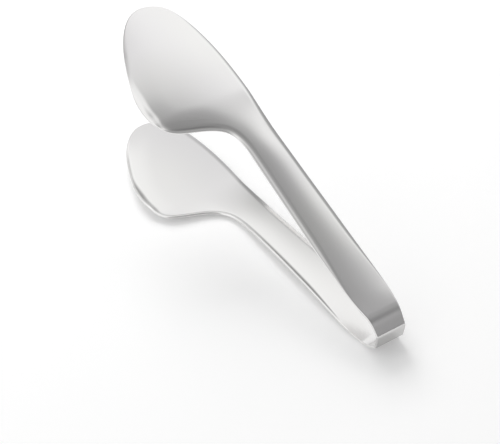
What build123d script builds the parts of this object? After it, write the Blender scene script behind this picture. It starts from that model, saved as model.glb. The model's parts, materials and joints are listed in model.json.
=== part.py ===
# Serving tongs formed from one strip of stainless steel, lying on the lower arm.
# +Z is up, +X points to the bow, -Y is the side that the blades swell to, and the
# origin is on the surface under the middle of the tongs. Millimetres.
import os
from math import asin, atan2, cos, degrees, hypot, radians, sin

from build123d import *

# Sheet and bow
sheet = 1.2
back_half_height = 2.8
corner_radius = 1.8
shoulder_angle = 43.0
shoulder_length = 3.0
bend_radius = 10.5
bow_half_width = 7.2

# Arms
root_angle = 8.0
neck_angle = 13.8
arm_length = 100.5
arm_half_width = 9.1
neck_half_width = 8.8
gutter_radius = 31.5
gutter_start = 4.0
gutter_full = 24.0

# Blades
blade_angle = 8.1
tip_angle = 4.6
bend_length = 26.0
blade_length = 82.2
belly_depth = 40.3
tip_side = 12.0
dish_radius = 130.0
dish_side = 11.0
neck_before = 20.0
neck_after = 18.0

# Working values
hinge_gap = 0.05
nose_proud = 0.05
overrun = 3.0


def after_bend(start, angle_from, angle_to, run):
    """End of a bend of the given length that turns the strip from one slope to another."""
    radius = run / radians(angle_to - angle_from)
    return (
        start[0] + radius * (sin(radians(angle_to)) - sin(radians(angle_from))),
        start[1] + radius * (cos(radians(angle_from)) - cos(radians(angle_to))),
    )


def arc_centre(start, angle, radius):
    """Centre of a bend that turns the strip inwards from the given slope."""
    return (start[0] + radius * sin(radians(angle)), start[1] - radius * cos(radians(angle)))


# The arm's end is a round nose, a little proud of the sheet, and turns in a socket in the bow
nose_radius = sheet / 2 + nose_proud

# Half of the side view, as distances from the back of the bow and from the mirror plane
corner_run = corner_radius * radians(90 - shoulder_angle)
bend_run = bend_radius * radians(shoulder_angle - root_angle)
corner_end = after_bend((0, back_half_height), 90, shoulder_angle, corner_run)
bend_start = (
    corner_end[0] + shoulder_length * cos(radians(shoulder_angle)),
    corner_end[1] + shoulder_length * sin(radians(shoulder_angle)),
)
root = after_bend(bend_start, shoulder_angle, root_angle, bend_run)
neck = after_bend(root, root_angle, neck_angle, arm_length)
bend_end = after_bend(neck, neck_angle, blade_angle, bend_length)
tip = after_bend(bend_end, blade_angle, tip_angle, blade_length - bend_length)

# The tongs lie on the lower arm: on the bow's bend and on the bend between arm and blade
neck_radius = bend_length / radians(neck_angle - blade_angle)
bow_centre = arc_centre(bend_start, shoulder_angle, bend_radius)
neck_centre = arc_centre(neck, neck_angle, neck_radius)
across = neck_centre[0] - bow_centre[0]
rise = neck_centre[1] - bow_centre[1]
lying = atan2(rise, across) + asin((neck_radius - bend_radius) / hypot(across, rise))
mid_height = (
    bow_centre[1] * cos(lying) - bow_centre[0] * sin(lying) + bend_radius + sheet / 2
)
reach = tip[0] * cos(lying) + tip[1] * sin(lying)

mid_plane = Plane(
    origin=(reach / 2, (belly_depth - arm_half_width) / 2, mid_height),
    x_dir=(cos(lying), 0, -sin(lying)),
    z_dir=(sin(lying), 0, cos(lying)),
)
side_plane = Plane(origin=mid_plane.origin, x_dir=mid_plane.x_dir, z_dir=(0, -1, 0))


def fade(value, start, end):
    """Smooth step from 0 at the start to 1 at the end."""
    share = min(max((value - start) / (end - start), 0), 1)
    return share * share * (3 - 2 * share)


def crown_bend(run):
    """Curvature across the strip at a distance along it from the bow's joint."""
    gutter = fade(run, gutter_start, gutter_full) / gutter_radius
    neck_share = fade(run, arm_length - neck_before, arm_length + neck_after)
    return gutter * (1 - neck_share) + neck_share / dish_radius


def crown_place(run):
    """Where the crown of the section lies across the strip."""
    return -dish_side * fade(run, arm_length - neck_before, arm_length + neck_after)


def section_plane(run):
    """Plane square to the upper arm, its x across the strip and its y towards the other arm."""
    past_neck = run - arm_length
    past_bend = past_neck - bend_length
    if past_neck <= 0:
        angle = root_angle + (neck_angle - root_angle) * run / arm_length
        place = root if run == 0 else after_bend(root, root_angle, angle, run)
    elif past_bend <= 0:
        angle = neck_angle + (blade_angle - neck_angle) * past_neck / bend_length
        place = after_bend(neck, neck_angle, angle, past_neck)
    else:
        turn_share = past_bend / (blade_length - bend_length)
        angle = blade_angle + (tip_angle - blade_angle) * turn_share
        place = after_bend(bend_end, blade_angle, angle, past_bend)
    heading = mid_plane.from_local_coords(
        Vector(-cos(radians(angle)), 0, sin(radians(angle)))
    ) - mid_plane.origin
    return Plane(
        origin=mid_plane.from_local_coords(Vector(-place[0], 0, place[1])),
        x_dir=(0, 1, 0),
        z_dir=heading,
    )


def dished_line(run, drop):
    """Parabola across the strip at one station, a given drop below the middle of the sheet."""
    low = -belly_depth - overrun
    high = arm_half_width + overrun
    curve = crown_bend(run)
    crown = crown_place(run)
    drop_low = drop + curve * (low - crown) ** 2 / 2
    drop_high = drop + curve * (high - crown) ** 2 / 2
    middle = (low + high) / 2
    drop_middle = drop_low + curve * (low - crown) * (middle - low)
    return Bezier((low, drop_low), (middle, drop_middle), (high, drop_high))


# Plan outline of the strip, as shares of the blade's length and of its swell
near_edge_shares = [
    (-0.08, 0.002),
    (0.02, 0.02),
    (0.1, 0.108),
    (0.152, 0.295),
    (0.2, 0.648),
    (0.245, 0.879),
    (0.33, 0.984),
    (0.44, 1.0),
    (0.68, 0.838),
    (0.87, 0.587),
]
far_edge_shares = [(0.11, 0.875), (0.46, 0.89), (0.70, 0.675), (0.87, 0.255), (0.963, -0.32)]
grip_share = 0.2
swell_share = 0.08


# The outline of the blank, seen square to the mirror plane
swell_start = neck[0] - blade_length * swell_share
swell_length = tip[0] - swell_start
swell_width = belly_depth - neck_half_width
grip_from_back = root[0] + arm_length * grip_share
arm_points = [
    (overrun, bow_half_width),
    (-root[0], (bow_half_width + arm_half_width) / 2),
    (-grip_from_back, arm_half_width),
    (-(grip_from_back + swell_start) / 2, neck_half_width),
]
near_points = [(x, -y) for x, y in arm_points] + [
    (-swell_start - along * swell_length, -neck_half_width - out * swell_width)
    for along, out in near_edge_shares
]
far_points = arm_points + [
    (-swell_start - along * swell_length, out * neck_half_width)
    for along, out in far_edge_shares
]

with BuildSketch(mid_plane) as blank:
    with BuildLine():
        tip_point = (-tip[0], -tip_side)
        near_edge = Spline(*near_points, tip_point, tangents=[(-1, 0), (0, 1)])
        far_edge = Spline(*far_points, tip_point, tangents=[(-1, 0), (0, -1)])
        Line(near_points[0], far_points[0])
    make_face()

# The bow: flat back, two tight corners, two shoulders and two bends
with BuildPart() as spring_bow:
    with BuildSketch(side_plane):
        with BuildLine():
            back = Line((0, 0), (0, back_half_height))
            corner = JernArc(back @ 1, back % 1, corner_radius, 90 - shoulder_angle)
            shoulder = PolarLine(corner @ 1, shoulder_length, direction=corner % 1)
            JernArc(shoulder @ 1, shoulder % 1, bend_radius, shoulder_angle - root_angle)
            mirror(about=Plane.XZ)
        trace(line_width=sheet)
    extrude(amount=arm_half_width, both=True)
    extrude(blank.sketch, amount=root[1] + sheet, both=True, mode=Mode.INTERSECT)
    with BuildSketch(side_plane):
        with Locations((-root[0], root[1]), (-root[0], -root[1])):
            Circle(nose_radius + hinge_gap)
    extrude(amount=arm_half_width, both=True, mode=Mode.SUBTRACT)
spring_bow.part.label = "spring_bow"

# Stations along the arm and blade, as shares of their lengths
arm_stations_share = [0, 0.05, 0.1, 0.17, 0.25, 0.4, 0.55, 0.7, 0.8, 0.88, 0.94]
blade_stations_share = [0, 0.07, 0.14, 0.22, 0.35, 0.5, 0.65, 0.8, 0.92, 1.04]

# One arm with its blade: a dished sheet cut to the outline, rounded where it meets the bow
with BuildPart() as upper_arm:
    runs = [arm_length * share for share in arm_stations_share]
    runs += [arm_length + blade_length * share for share in blade_stations_share]
    for run in runs:
        with BuildSketch(section_plane(run)):
            with BuildLine():
                outer = dished_line(run, -sheet / 2)
                inner = dished_line(run, sheet / 2)
                Line(outer @ 0, inner @ 0)
                Line(outer @ 1, inner @ 1)
            make_face()
    loft()
    with BuildSketch(side_plane):
        with Locations((-root[0], root[1])):
            Circle(nose_radius)
    extrude(amount=arm_half_width, both=True)
    extrude(blank.sketch, amount=tip[1] + sheet, both=True, mode=Mode.INTERSECT)
upper_arm.part.label = "upper_arm"

with BuildPart() as lower_arm:
    mirror(upper_arm.part, about=mid_plane)
lower_arm.part.label = "lower_arm"

os.makedirs("parts", exist_ok=True)
export_step(spring_bow.part, "parts/spring_bow.step")
export_step(upper_arm.part, "parts/upper_arm.step")
export_step(lower_arm.part, "parts/lower_arm.step")

# Places for the record, in the part's frame
for name, height in (("upper", root[1]), ("lower", -root[1])):
    print(name, "joint", mid_plane.from_local_coords(Vector(-root[0], 0, height)))
print("back of the bow", mid_plane.from_local_coords(Vector(sheet / 2, 0, 0)))
print("lying angle", degrees(lying))
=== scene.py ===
# Serving tongs of satin stainless strip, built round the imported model. Metres, unless a note says otherwise
import json

import bpy
import numpy as np
from mathutils import Matrix, Vector


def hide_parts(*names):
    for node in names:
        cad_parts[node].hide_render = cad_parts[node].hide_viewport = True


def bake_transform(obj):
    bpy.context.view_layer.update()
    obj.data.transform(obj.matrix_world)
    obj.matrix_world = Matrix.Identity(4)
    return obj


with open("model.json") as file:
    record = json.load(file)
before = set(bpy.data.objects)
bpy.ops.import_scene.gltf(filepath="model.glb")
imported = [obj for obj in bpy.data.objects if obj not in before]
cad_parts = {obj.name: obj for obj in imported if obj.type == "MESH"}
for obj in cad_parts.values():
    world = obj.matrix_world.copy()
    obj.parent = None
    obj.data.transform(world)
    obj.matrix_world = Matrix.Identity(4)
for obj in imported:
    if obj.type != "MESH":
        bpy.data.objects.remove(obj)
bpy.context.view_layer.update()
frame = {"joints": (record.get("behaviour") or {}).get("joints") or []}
mm = 0.001
tiny = 1e-15  # keeps a length of zero from dividing

# Side view of one half, from the middle of the bow's back to the tip. Millimetres and degrees
strip = {
    "sheet": 1.2,
    "edgeRound": 0.34,
    "backHalfHeight": 2.8,
    "backSlope": 90.0,
    "cornerRadius": 1.8,
    "shoulderSlope": 43.0,
    "shoulderLength": 3.0,
    "bendRadius": 10.5,
    "rootSlope": 8.0,
    "neckSlope": 13.8,
    "armLength": 100.5,
    "bladeSlope": 8.1,
    "tipSlope": 4.6,
    "bendLength": 21.0,
    "bladeLength": 82.2,
    "linePoints": 20001,
}


# The strip's centreline: the slope changes evenly along each stretch, and the place is its running sum
def centreLine():
    s = strip
    corner = s["cornerRadius"] * np.radians(s["backSlope"] - s["shoulderSlope"])
    bend = s["bendRadius"] * np.radians(s["shoulderSlope"] - s["rootSlope"])
    blade = s["bladeLength"] - s["bendLength"]
    lengths = [s["backHalfHeight"], corner, s["shoulderLength"], bend]
    lengths += [s["armLength"], s["bendLength"], blade]
    slopes = [s["backSlope"], s["backSlope"], s["shoulderSlope"], s["shoulderSlope"]]
    slopes += [s["rootSlope"], s["neckSlope"], s["bladeSlope"], s["tipSlope"]]
    ends = np.concatenate([[0.0], np.cumsum(lengths)])
    run = np.linspace(0, ends[-1] + s["sheet"], s["linePoints"])
    slope = np.radians(np.interp(run, ends, slopes))
    step = run[1] - run[0]
    along = np.concatenate([[0.0], np.cumsum((np.cos(slope[1:]) + np.cos(slope[:-1])) / 2 * step)])
    out = np.concatenate([[0.0], np.cumsum((np.sin(slope[1:]) + np.sin(slope[:-1])) / 2 * step)])
    return {"run": run, "slope": slope, "along": along, "out": out, "ends": ends}


line = centreLine()


# What the centreline holds at a run from the middle of the bow's back: its slope, or its place along or out
def onLine(key, run):
    return np.interp(run, line["run"], line[key])


rootRun = line["ends"][4]
neckRun = line["ends"][5]
tipRun = line["ends"][7]
rootAlong = onLine("along", rootRun)
neckAlong = onLine("along", neckRun)
tipAlong = onLine("along", tipRun)
print("centreline", round(float(tipAlong), 2), "mm long")


# Smooth step from 0 at the start to 1 at the end
def fade(value, start, end):
    share = np.clip((value - start) / (end - start), 0, 1)
    return share * share * (3 - 2 * share)


# Goes evenly from the first value to the second as the share goes from 0 to 1
def mix(first, second, share):
    return first + (second - first) * share


# How the sheet is dished across, and rolled along its rims. Millimetres and degrees
dish = {
    "gutterRadius": 54.0,
    "gutterSpread": 30.0,  # how far from the crown the gutter's sides turn straight
    "armCrown": -2.0,
    "bladeRadius": 280.0,
    "bladeCrown": -16.0,
    "rootShare": 0.4,  # of the gutter, where the arm is first formed
    "formedFrom": -3.0,  # runs from the start of the arm
    "formedTo": 12.0,
    "gutterFull": 84.0,
    "neckBefore": 10.0,  # runs before and after the end of the arm
    "neckAfter": 21.0,
    "crownBefore": 24.0,
    "crownAfter": 35.0,
    "softRoll": 12.5,
    "softRadius": 125.0,
    "softFrom": 8.0,  # places across, on the side that the blade swells to
    "softFull": 20.0,
    "rimRoll": 2.4,
    "rimTurn": 23.0,
    "rollFrom": -1.0,  # runs from the start of the arm
    "rollFull": 42.0,
    "nearRoll": 3.2,
    "nearTurn": 34.0,
    "nearFrom": 3.0,  # places across
    "nearFull": 7.0,
    "nearEnds": 6.0,  # runs from the end of the arm
    "nearGone": 16.0,
    "bellyRoll": 4.6,
    "bellyTurn": 46.0,
    "bellyFrom": 15.5,  # runs from the end of the arm
    "bellyFull": 25.5,
    "bellyEnds": 34.0,
    "bellyGone": 50.0,
    "tipFrom": 60.0,  # runs from the end of the arm
    "tipTo": 80.0,
    "tipShare": 0.15,  # of the rims' roll, left at the tip
}


# How far the sheet falls towards the other arm: a hyperbola about the crown, a wide parabola along the near
# rim of the blade, and an arc of a circle along every rim. The arc grows from nothing at the bow, is widest
# and steepest at the belly of the blade, and shrinks to a share of itself at the tip
def fall(run, side, rim):
    d = dish
    arm = run - rootRun
    past = arm - strip["armLength"]
    bladeShare = fade(past, -d["neckBefore"], d["neckAfter"])
    crownShare = fade(past, -d["crownBefore"], d["crownAfter"])
    gutter = fade(arm, d["formedFrom"], d["formedTo"])
    gutter = gutter * mix(d["rootShare"], 1, fade(arm, d["formedTo"], d["gutterFull"]))
    curve = mix(gutter / d["gutterRadius"], 1 / d["bladeRadius"], bladeShare)
    crown = mix(d["armCrown"], d["bladeCrown"], crownShare)
    spread = d["gutterSpread"]
    drop = curve * spread ** 2 * (np.sqrt(1 + ((side - crown) / spread) ** 2) - 1)

    beforeTip = 1 - fade(past, d["tipFrom"], d["tipTo"])
    swellSide = fade(-side, d["softFrom"], d["softFull"])
    soft = bladeShare * beforeTip * swellSide
    drop = drop + soft * np.clip(d["softRoll"] - rim, 0, None) ** 2 / (2 * d["softRadius"])

    near = fade(-side, d["nearFrom"], d["nearFull"]) * (1 - fade(past, d["nearEnds"], d["nearGone"]))
    belly = fade(past, d["bellyFrom"], d["bellyFull"]) * (1 - fade(past, d["bellyEnds"], d["bellyGone"]))
    belly = belly * swellSide
    width = d["rimRoll"] + (d["nearRoll"] - d["rimRoll"]) * near + (d["bellyRoll"] - d["rimRoll"]) * belly
    width = width * fade(arm, d["rollFrom"], d["rollFull"]) * mix(d["tipShare"], 1, beforeTip)
    turn = d["rimTurn"] + (d["nearTurn"] - d["rimTurn"]) * near + (d["bellyTurn"] - d["rimTurn"]) * belly
    radius = width / np.sin(np.radians(turn))
    return drop + radius - np.sqrt(radius ** 2 - np.clip(width - rim, 0, None) ** 2)


# Middle of the sheet in the tongs' own frame: the centreline, the side, and the fall along the inward normal
def sheetMiddle(run, side, rim):
    slope = onLine("slope", run)
    drop = fall(run, side, rim)
    along = onLine("along", run) + drop * np.sin(slope)
    out = onLine("out", run) - drop * np.cos(slope)
    return np.stack([along, side, out], axis=-1)


# Outline of the blank, square to the plane between the arms. Millimetres, and pairs of shares: of the
# blade's length, and of its swell on the near side or of the neck's half width on the far one
outline = {
    "bowHalfWidth": 7.2,
    "armHalfWidth": 9.1,
    "neckHalfWidth": 8.8,
    "gripShare": 0.2,
    "swellShare": 0.08,
    "bellyDepth": 40.3,
    "tipSide": 12.0,
    "nearShares": [
        (-0.08, 0.002), (0.02, 0.02), (0.1, 0.108), (0.152, 0.295), (0.2, 0.642),
        (0.245, 0.862), (0.33, 0.972), (0.44, 1.0), (0.68, 0.838), (0.87, 0.587),
    ],
    "farShares": [(0.11, 0.875), (0.46, 0.89), (0.70, 0.675), (0.87, 0.255), (0.963, -0.32)],
    "edgePoints": 6000,
}


# Cubic through the points with an even second derivative at each: the ways at the points solve one linear
# system, and between two points the curve is the cubic that has their places and ways
def smoothCurve(points, startWay, endWay):
    knots = np.array(points, float)
    gaps = np.linalg.norm(np.diff(knots, axis=0), axis=1)
    reach = np.concatenate([[0.0], np.cumsum(gaps)])
    count = len(knots)
    system = np.zeros((count, count))
    right = np.zeros((count, 2))
    system[0, 0] = system[-1, -1] = 1
    right[0], right[-1] = startWay, endWay
    for i in range(1, count - 1):
        before, after = gaps[i - 1], gaps[i]
        system[i, i - 1:i + 2] = after, 2 * (before + after), before
        right[i] = 3 * after * (knots[i] - knots[i - 1]) / before
        right[i] += 3 * before * (knots[i + 1] - knots[i]) / after
    ways = np.linalg.solve(system, right)
    place = np.linspace(0, reach[-1], outline["edgePoints"])
    piece = np.clip(np.searchsorted(reach, place, side="right") - 1, 0, count - 2)
    gap = gaps[piece][:, None]
    share = ((place - reach[piece]) / gaps[piece])[:, None]
    return (
        knots[piece] * (1 + 2 * share) * (1 - share) ** 2
        + ways[piece] * gap * share * (1 - share) ** 2
        + knots[piece + 1] * share ** 2 * (3 - 2 * share)
        + ways[piece + 1] * gap * share ** 2 * (share - 1)
    )


# Both edges of the blank, distance from the bow against place across: smooth curves through half widths of
# the arm, then through shares of the blade's length and swell, to the tip
def blankEdges():
    o = outline
    swellStart = neckAlong - strip["bladeLength"] * o["swellShare"]
    swellLength = tipAlong - swellStart
    swellWidth = o["bellyDepth"] - o["neckHalfWidth"]
    gripAlong = rootAlong + strip["armLength"] * o["gripShare"]
    arm = [
        (0.0, o["bowHalfWidth"]),
        (rootAlong, (o["bowHalfWidth"] + o["armHalfWidth"]) / 2),
        (gripAlong, o["armHalfWidth"]),
        ((gripAlong + swellStart) / 2, o["neckHalfWidth"]),
    ]
    tip = [(tipAlong, -o["tipSide"])]
    near = [(x, -y) for x, y in arm]
    near += [(swellStart + x * swellLength, -o["neckHalfWidth"] - y * swellWidth) for x, y in o["nearShares"]]
    far = arm + [(swellStart + x * swellLength, y * o["neckHalfWidth"]) for x, y in o["farShares"]]
    return smoothCurve(near + tip, (1, 0), (0, 1)), smoothCurve(far + tip, (1, 0), (0, -1))


nearEdge, farEdge = blankEdges()
print("blank", round(float(farEdge[:, 1].max() - nearEdge[:, 1].min()), 2), "mm wide")

# Rows and columns of the surface. Steps and reach in millimetres
mesh = {
    "bowStep": 0.35,
    "armStep": 1.2,
    "bladeRows": 150,
    "cubeShare": 0.45,  # of how the blade's rows close up towards the tip, where the rest is a square
    "cutColumns": 5,
    "rimColumns": 14,
    "rimReach": 5.0,
    "coreColumns": 26,
    "edgeRounds": 6,
    "blockPoints": 2000,
}


# Rows along the strip: even on the bow and on the arm, and closing up towards the tip, where the run that
# is left goes with the square and the cube of the share of rows that is left
def stripRows():
    bow = np.linspace(0, rootRun, int(rootRun / mesh["bowStep"]))[:-1]
    armEnd = neckRun - dish["neckBefore"]
    arm = np.linspace(rootRun, armEnd, int((armEnd - rootRun) / mesh["armStep"]))[:-1]
    tipShift = fall(tipRun, -outline["tipSide"], 0.0) * np.sin(np.radians(strip["tipSlope"]))
    lastRun = np.interp(tipAlong - tipShift, line["along"], line["run"])
    left = 1 - np.linspace(0, 1, mesh["bladeRows"])
    blade = mix(lastRun, armEnd, left ** 2 * mix(1, left, mesh["cubeShare"]))
    return np.concatenate([bow, arm, blade])


# Where a row meets an edge: the sheet's fall there shifts the row along a little, found in a few rounds
def edgeAtRow(run, edge):
    base = onLine("along", run)
    side = np.interp(base, edge[:, 0], edge[:, 1])
    for _ in range(mesh["edgeRounds"]):
        shifted = base + fall(run, side, 0.0) * np.sin(onLine("slope", run)) * (run > rootRun)
        side = np.interp(shifted, edge[:, 0], edge[:, 1])
    return np.stack([run, side], axis=-1)


# Unit way from an edge into the sheet, square to the edge
def inwardWay(edge, sign):
    way = np.gradient(edge, axis=0)
    way /= np.linalg.norm(way, axis=1)[:, None] + tiny
    inward = np.stack([way[:, 1], -way[:, 0]], axis=-1) * sign
    inward[0] = (0, -sign)
    inward[-1] = (-1, 0)
    return inward


# Distance from each point to a curve of points, a block of points at a time
def distanceTo(points, curve):
    flat = points.reshape(-1, 2)
    found = np.empty(len(flat))
    for start in range(0, len(flat), mesh["blockPoints"]):
        block = slice(start, start + mesh["blockPoints"])
        found[block] = np.sqrt(((flat[block, None, :] - curve[None]) ** 2).sum(-1)).min(1)
    return found.reshape(points.shape[:-1])


# Columns along a rim, as distances from it and heights over the middle of the sheet: round the quarter
# circle of the cut edge, then on over the face at half the sheet
def rimColumns():
    half = strip["sheet"] / 2
    corner = strip["edgeRound"]
    turn = np.linspace(0, np.pi / 2, mesh["cutColumns"])
    beyond = np.linspace(corner, mesh["rimReach"], mesh["rimColumns"] + 1)[1:]
    reach = np.concatenate([corner * (1 - np.cos(turn)), beyond])
    height = np.concatenate([half - corner + corner * np.sin(turn), np.full(len(beyond), half)])
    return reach, height


# One face of the sheet before forming, in rows from the near edge to the far one: run and place across,
# distance to the rim, and height over the middle. The core goes evenly from one rim's columns to the other's
def flatSheet():
    rows = stripRows()
    near, far = edgeAtRow(rows, nearEdge), edgeAtRow(rows, farEdge)
    near[-1] = far[-1] = (near[-1] + far[-1]) / 2
    reach, height = rimColumns()
    nearRing = near[:, None, :] + reach[None, :, None] * inwardWay(near, -1)[:, None, :]
    farRing = far[:, None, :] + reach[None, :, None] * inwardWay(far, 1)[:, None, :]
    share = np.linspace(0, 1, mesh["coreColumns"] + 2)[1:-1][None, :, None]
    core = mix(nearRing[:, -1:, :], farRing[:, -1:, :], share)
    flat = np.concatenate([nearRing, core, farRing[:, ::-1]], axis=1)
    coreRim = np.minimum(distanceTo(core, near), distanceTo(core, far))
    ringRim = np.broadcast_to(reach, (len(rows), len(reach)))
    rim = np.concatenate([ringRim, coreRim, ringRim[:, ::-1]], axis=1)
    coreHeight = np.full(mesh["coreColumns"], strip["sheet"] / 2)
    return flat, rim, np.concatenate([height, coreHeight, height[::-1]])


# Values over one face, run on over the other face on the way back
def bothFaces(values):
    return np.concatenate([values, values[:, ::-1]], axis=1)


# The formed sheet in closed rows: over the outer face from the near edge, round the far cut edge, back over
# the inner face and round the near one. Each face stands off the middle along the normal, the cross product
# of the ways along and across. At the tip the normal is the mean of both edges' normals
def formedRows(flat, rim, height, ringColumns):
    middle = sheetMiddle(flat[..., 0], flat[..., 1], rim)
    normal = np.cross(np.gradient(middle, axis=0), np.gradient(middle, axis=1))
    normal /= np.linalg.norm(normal, axis=-1)[..., None] + tiny
    folding = normal[-2] + normal[-2, ::-1]
    normal[-1] = folding / np.linalg.norm(folding, axis=-1)[:, None]
    normal[-1, ringColumns - 1:-ringColumns + 1] = normal[-1, ringColumns - 1]
    offset = normal * height[None, :, None]
    return np.concatenate([middle + offset, (middle - offset)[:, ::-1]], axis=1)


# Faces between neighbouring rows of a grid that closes round on itself
def ringFaces(index):
    here, ahead = index[:-1], index[1:]
    return np.stack([here, np.roll(here, -1, 1), np.roll(ahead, -1, 1), ahead], axis=-1).reshape(-1, 4)


# Faces of the closed rows. The last row folds on the tip: each column takes the point of its mirror column,
# and all columns between the rims take one. A cap closes the first row
def stripFaces(count, width, ringColumns):
    columns = width // 2
    index = np.arange(count * width).reshape(count, width)
    column = np.arange(columns)
    folded = np.minimum(np.minimum(column, columns - 1 - column), ringColumns - 1)
    index[-1, :columns] = index[-1, 0] + folded
    index[-1, columns:] = index[-1, 0] + width - 1 - folded[::-1]
    first, back = index[0, :columns], index[0, ::-1][:columns]
    cap = np.stack([first[:-1], back[:-1], back[1:], first[1:]], axis=-1)
    return ringFaces(index), cap


# The tongs' own frame from the joints: the plane between the arms lies midway, the bow's back a known way on
def ownFrame():
    hinges = {j["name"]: Vector(j["pos_m"]) for j in frame["joints"]}
    upper, lower = hinges["upper_arm_flex"], hinges["lower_arm_flex"]
    outWay = (upper - lower).normalized()
    bowWay = Vector((outWay.z, 0, -outWay.x))
    back = (upper + lower) / 2 + bowWay * float(rootAlong) * mm
    return np.array(back), np.array(bowWay), np.array(outWay)


backPlace, bowWay, outWay = ownFrame()


# From the tongs' own millimetres (distance from the bow, place across, distance out) to metres in the frame
def toFrame(points):
    along, side, out = points[..., 0:1], points[..., 1:2], points[..., 2:3]
    return backPlace + (-along * bowWay + side * np.array([0, 1, 0]) + out * outWay) * mm


def linkPiece(name, data):
    piece = bpy.data.objects.new(name, data)
    bpy.context.scene.collection.objects.link(piece)
    return piece


# Smooth all over but for the border of the cap, which is the first row's closed loop. The cap lies on the
# cap of the other half, in the middle of the bow's back
def shadeStrip(data, width):
    ends = np.empty(len(data.edges) * 2, int)
    data.edges.foreach_get("vertices", ends)
    ends = ends.reshape(-1, 2)
    border = (ends < width).all(1) & np.isin(np.ptp(ends, axis=1), (1, width - 1))
    data.polygons.foreach_set("use_smooth", np.ones(len(data.polygons), bool))
    data.edges.foreach_set("use_edge_sharp", border)
    data.update()


# Half of the strip as one closed surface. The lower half, with sign -1, is the mirror image of the upper one
def halfStrip(name, sign):
    flat, rim, height = flatSheet()
    ringColumns = mesh["cutColumns"] + mesh["rimColumns"]
    loops = formedRows(flat, rim, height, ringColumns)
    loops[..., 2] *= sign
    count, width = loops.shape[:2]
    quads, cap = stripFaces(count, width, ringColumns)

    # Drops the folded row's spare points
    used = np.unique(np.concatenate([quads.ravel(), cap.ravel()]))
    renumber = np.zeros(count * width, int)
    renumber[used] = np.arange(len(used))
    quads, cap = renumber[quads], renumber[cap]
    pinched = quads[:, 2] == quads[:, 3]
    faces = quads[~pinched].tolist() + quads[pinched][:, :3].tolist() + cap.tolist()
    if sign < 0:
        faces = [f[::-1] for f in faces]
    points = toFrame(loops.reshape(-1, 3))[used]
    data = bpy.data.meshes.new(name)
    data.from_pydata(points.tolist(), [], faces)
    data.validate()
    carryLook(data, bothFaces(flat).reshape(-1, 2)[used], bothFaces(rim).reshape(-1)[used])
    shadeStrip(data, width)
    print(name, len(points), "points", len(data.polygons), "faces")
    return linkPiece(name, data)


# The steel's look. The bow's back gets painted shade, a darker colour, and is duller, from and to runs in
# millimetres
steel = {
    "colour": (0.80, 0.795, 0.785, 1),
    "tintColour": (0.775, 0.765, 0.77, 1),
    "tintScale": 14.0,
    "tintDetail": 1.0,
    "tintRange": (0.4, 0.65),
    "roughness": 0.17,
    "roughnessSpread": 0.03,
    "sheenRange": (0.6, 1.4),
    "mottleScale": 22.0,
    "mottleDetail": 2.0,
    "grainAlong": 9.0,
    "grainAcross": 420.0,
    "grainDetail": 3.0,
    "grainBump": 0.02,
    "grainDepth": 0.00002,
    "polishedColour": (0.90, 0.895, 0.885, 1),
    "polishedRoughness": 0.12,
    # Painted shade: the bow's back is coloured darker, standing in for the shaded floor that it mirrors
    "backShadeColour": (0.64, 0.635, 0.63, 1),
    "shadedBackRoughness": 0.42,
    "shadedBackFrom": 3.0,
    "shadedBackTo": 4.4,
    "placeScale": 0.01,  # texture places in decimetres, from millimetres
}


# What the steel reads from the strip: places along and across it, the cut edge's share, which falls evenly
# from 1 at the rim to 0 where the face starts, and the share of the bow's back that gets painted shade and
# dulling, a smooth step along the strip
def carryLook(data, flat, rim):
    corners = np.empty(len(data.loops), int)
    data.loops.foreach_get("vertex_index", corners)
    places = (flat * steel["placeScale"])[corners].astype(np.float32)
    data.uv_layers.new(name="strip").data.foreach_set("uv", places.ravel())
    cut = np.clip(1 - rim / strip["edgeRound"], 0, 1)
    # The back's share darkens the colour with painted shade, and also makes the roughness duller
    shadeAndDull = 1 - fade(flat[:, 0], steel["shadedBackFrom"], steel["shadedBackTo"])
    for name, values in (("cutEdge", cut), ("shadedDullBack", shadeAndDull)):
        data.attributes.new(name, "FLOAT", "POINT").data.foreach_set("value", values.astype(np.float32))


# Gives a node's inputs: a socket is linked to the input, and anything else becomes its value
def giveInputs(tree, node, inputs):
    for name, value in inputs.items():
        if isinstance(value, bpy.types.NodeSocket):
            tree.links.new(value, node.inputs[name])
        else:
            node.inputs[name].default_value = value


def addNoise(tree, places, scale, detail):
    noise = tree.nodes.new("ShaderNodeTexNoise")
    giveInputs(tree, noise, {"Vector": places, "Scale": scale, "Detail": detail})
    return noise.outputs["Fac"]


# A value taken from one range to another
def addRange(tree, value, fromRange, toRange):
    ranged = tree.nodes.new("ShaderNodeMapRange")
    giveInputs(tree, ranged, {"Value": value, "From Min": fromRange[0], "From Max": fromRange[1]})
    giveInputs(tree, ranged, {"To Min": toRange[0], "To Max": toRange[1]})
    return ranged.outputs["Result"]


def addMaths(tree, operation, first, second):
    maths = tree.nodes.new("ShaderNodeMath")
    maths.operation = operation
    giveInputs(tree, maths, {0: first, 1: second})
    return maths.outputs["Value"]


# Goes from the first colour to the second by a share. Inputs 6 and 7 and output 2 are the colours' sockets
def mixColours(tree, first, second, share):
    mixed = tree.nodes.new("ShaderNodeMix")
    mixed.data_type = "RGBA"
    giveInputs(tree, mixed, {"Factor": share, 6: first, 7: second})
    return mixed.outputs[2]


def mixNumbers(tree, first, second, share):
    mixed = tree.nodes.new("ShaderNodeMix")
    giveInputs(tree, mixed, {"Factor": share, "A": first, "B": second})
    return mixed.outputs["Result"]


# A value that the mesh's points carry
def carriedValue(tree, name):
    carried = tree.nodes.new("ShaderNodeAttribute")
    carried.attribute_name = name
    return carried.outputs["Fac"]


def newMaterial(name):
    material = bpy.data.materials.new(name)
    material.use_nodes = True
    return material, material.node_tree


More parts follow.
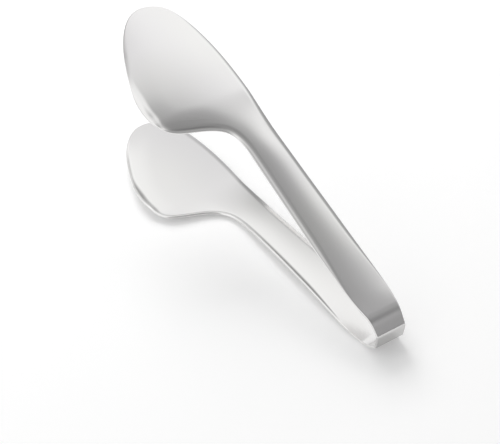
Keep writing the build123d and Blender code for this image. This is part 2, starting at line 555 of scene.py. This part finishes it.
# Satin steel: fine lengthwise grain from the strip's own places, broad uneven sheen and polished cut edges
def steelMaterial():
    material, tree = newMaterial("satinSteel")
    stripPlaces = tree.nodes.new("ShaderNodeUVMap")
    stripPlaces.uv_map = "strip"
    stretched = tree.nodes.new("ShaderNodeMapping")
    stretch = (steel["grainAlong"], steel["grainAcross"], 1)
    giveInputs(tree, stretched, {"Vector": stripPlaces.outputs["UV"], "Scale": stretch})
    objectPlaces = tree.nodes.new("ShaderNodeTexCoord").outputs["Object"]
    grain = addNoise(tree, stretched.outputs["Vector"], 1.0, steel["grainDetail"])
    mottle = addNoise(tree, objectPlaces, steel["mottleScale"], steel["mottleDetail"])
    tint = addNoise(tree, objectPlaces, steel["tintScale"], steel["tintDetail"])
    cut = carriedValue(tree, "cutEdge")
    shadeAndDull = carriedValue(tree, "shadedDullBack")

    # Colour: the tint comes and goes over a few centimetres, cut edges are lighter, and painted shade darkens
    # the bow's back
    tintShare = addRange(tree, tint, steel["tintRange"], (0, 1))
    colour = mixColours(tree, steel["colour"], steel["tintColour"], tintShare)
    colour = mixColours(tree, colour, steel["polishedColour"], cut)
    # Painted shade on the bow's back
    colour = mixColours(tree, colour, steel["backShadeColour"], shadeAndDull)

    # Roughness: the grain and the mottle move it a little, cut edges are polished, the bow's back is dull
    spread = steel["roughnessSpread"]
    sheen = (steel["roughness"] - spread, steel["roughness"] + spread)
    rough = addRange(tree, addMaths(tree, "ADD", grain, mottle), steel["sheenRange"], sheen)
    rough = mixNumbers(tree, rough, steel["polishedRoughness"], cut)
    rough = mixNumbers(tree, rough, steel["shadedBackRoughness"], shadeAndDull)

    bump = tree.nodes.new("ShaderNodeBump")
    giveInputs(tree, bump, {"Height": grain, "Strength": steel["grainBump"], "Distance": steel["grainDepth"]})
    giveInputs(tree, tree.nodes["Principled BSDF"], {
        "Base Color": colour,
        "Metallic": 1.0,
        "Roughness": rough,
        "Specular IOR Level": 0.5,
        "Normal": bump.outputs["Normal"],
    })
    return material


satinSteel = steelMaterial()
halves = [
    ("upper_half", 1, "upper", ["upper_arm", "spring_bow"]),
    ("lower_half", -1, "lower", ["lower_arm", "spring_bow"]),
]
for pieceName, sign, body, nodeNames in halves:
    piece = halfStrip(pieceName, sign)
    piece.data.materials.append(satinSteel)
    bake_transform(piece)
    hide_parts(*nodeNames)
print("strip done")

# A pale square under the tongs. Metres
floor = {
    "reach": 3.0,
    "colour": (0.92, 0.92, 0.92, 1),
    "roughness": 0.8,
    "glow": 0.15,
}

# The tent round the tongs, which the camera doesn't see. Metres, and ways from the middle of the floor
tent = {
    "radius": 2.0,
    "columns": 160,
    "rows": 72,
    "topRise": 89.9,  # degrees
    "dimWay": (0.22, 0.146, 0.93),
    "dimTurn": 36.0,  # degrees
    "dimNarrow": (1.8, 1.95),
    "glowSteps": [0, 0.3, 0.5, 0.65, 0.8, 0.95, 1.15],
    "glows": [0.3, 0.32, 0.39, 0.42, 0.54, 0.87, 1.13],
    "lowFades": [(0.67, 0.75), (0.14, 0.3)],  # height where each ends, and the share left at the floor
    "spots": [((-0.75, -0.1, 0.65), 0.65, 0.3), ((0.0, -0.58, 0.81), 0.38, 0.4)],  # way, reach and share
    "sideFades": [(1, 0.62, 0.82, 0.4), (0, 0.25, 0.6, 0.4)],  # axis, start, end and share
}

# A soft lamp behind the tongs. Metres and watts
lamp = {
    "place": (-1.15, 0.25, 0.95),
    "size": 0.8,
    "power": 11.3,
}


# Links a surface of points with its faces and material into the scene
def stagePiece(name, points, faces, material):
    data = bpy.data.meshes.new(name)
    data.from_pydata(points.reshape(-1, 3).tolist(), [], faces.tolist())
    data.materials.append(material)
    piece = linkPiece(name, data)
    return piece


# The floor is pale, and glows just enough to be white round the shadow, to the eye and in the metal alike
def floorMaterial():
    material, tree = newMaterial("paleFloor")
    path = tree.nodes.new("ShaderNodeLightPath")
    seen = path.outputs["Is Camera Ray"]
    for ray in ("Is Glossy Ray", "Is Transmission Ray"):
        seen = addMaths(tree, "MAXIMUM", seen, path.outputs[ray])
    giveInputs(tree, tree.nodes["Principled BSDF"], {
        "Base Color": floor["colour"],
        "Roughness": floor["roughness"],
        "Specular IOR Level": 0.0,
        "Emission Color": (1, 1, 1, 1),
        "Emission Strength": addMaths(tree, "MULTIPLY", seen, floor["glow"]),
    })
    return material


# The tent gives the light that its points carry
def tentMaterial():
    material, tree = newMaterial("studioTent")
    tree.nodes.remove(tree.nodes["Principled BSDF"])
    light = tree.nodes.new("ShaderNodeEmission")
    giveInputs(tree, light, {"Strength": carriedValue(tree, "glow")})
    giveInputs(tree, tree.nodes["Material Output"], {"Surface": light.outputs["Emission"]})
    return material


# The tent's light: steps by the distance from the dim way, which counts more one way than the other. It is
# dimmed by smooth steps in height, by two round spots and by smooth steps towards the back and the bow
def tentGlow(way):
    dim = np.array(tent["dimWay"]) / np.linalg.norm(tent["dimWay"])
    first = np.cross([0, 1, 0], dim)
    first /= np.linalg.norm(first)
    second = np.cross(dim, first)
    turn = np.radians(tent["dimTurn"])
    along = tent["dimNarrow"][0] * (way @ (first * np.cos(turn) + second * np.sin(turn)))
    across = tent["dimNarrow"][1] * (way @ (second * np.cos(turn) - first * np.sin(turn)))
    distance = np.where(way @ dim > 0, np.hypot(along, across), tent["glowSteps"][-1])
    glow = np.interp(distance, tent["glowSteps"], tent["glows"])
    for end, share in tent["lowFades"]:
        glow = glow * mix(share, 1, fade(way[..., 2], 0, end))
    for spot, reach, share in tent["spots"]:
        glow = glow * mix(share, 1, fade(np.linalg.norm(way - np.array(spot), axis=-1), 0, reach))
    for axis, start, end, share in tent["sideFades"]:
        glow = glow * mix(1, share, fade(way[..., axis], start, end))
    return glow


# Floor: a plain square. Tent: a half ball, height as the sine and reach as the cosine of the rise
def floorAndTent():
    corners = np.array([(-1, -1, 0), (1, -1, 0), (1, 1, 0), (-1, 1, 0)]) * floor["reach"]
    stagePiece("floor", corners, np.array([[0, 1, 2, 3]]), floorMaterial())

    rows, columns = tent["rows"], tent["columns"]
    turn = np.linspace(0, 2 * np.pi, columns, endpoint=False)[None, :]
    rise = np.radians(np.linspace(0, tent["topRise"], rows))[:, None]
    height = np.sin(rise) * np.ones_like(turn)
    ball = np.stack([np.cos(rise) * np.cos(turn), np.cos(rise) * np.sin(turn), height], axis=-1)
    faces = ringFaces(np.arange(rows * columns).reshape(rows, columns))
    piece = stagePiece("tent", ball * tent["radius"], faces, tentMaterial())
    glow = tentGlow(ball).astype(np.float32).ravel()
    piece.data.attributes.new("glow", "FLOAT", "POINT").data.foreach_set("value", glow)
    piece.visible_camera = False


# A square lamp that looks at the middle of the tongs, and that the metal doesn't mirror
def softLamp():
    data = bpy.data.lights.new("key", "AREA")
    data.shape = "SQUARE"
    data.size = lamp["size"]
    data.energy = lamp["power"]
    piece = linkPiece("key", data)
    piece.location = lamp["place"]
    piece.rotation_euler = (-Vector(lamp["place"])).to_track_quat("-Z", "Y").to_euler()
    piece.visible_glossy = False


def whiteWorld():
    world = bpy.data.worlds.new("white")
    bpy.context.scene.world = world
    world.use_nodes = True
    world.node_tree.nodes["Background"].inputs["Color"].default_value = (1, 1, 1, 1)


whiteWorld()
floorAndTent()
softLamp()
print("studio done")

# The photograph's view. Metres and millimetres of lens
view = {
    "place": (0.3884, -0.2163, 0.3909),
    "way": (-0.6574, 0.3794, -0.6510),
    "up": (-0.5310, 0.3799, 0.7575),
    "lens": 92.1,
    "sensor": 36,
    "clipStart": 0.01,
}


def camera():
    data = bpy.data.cameras.new("camera")
    data.sensor_width = view["sensor"]
    data.lens = view["lens"]
    data.clip_start = view["clipStart"]
    eye = linkPiece("camera", data)
    way = Vector(view["way"]).normalized()
    right = way.cross(Vector(view["up"])).normalized()
    up = right.cross(way)
    turn = Matrix((right, up, -way)).transposed().to_4x4()
    eye.matrix_world = Matrix.Translation(view["place"]) @ turn
    bpy.context.scene.camera = eye


camera()
bpy.context.scene.view_settings.view_transform = "Standard"
print("camera done")
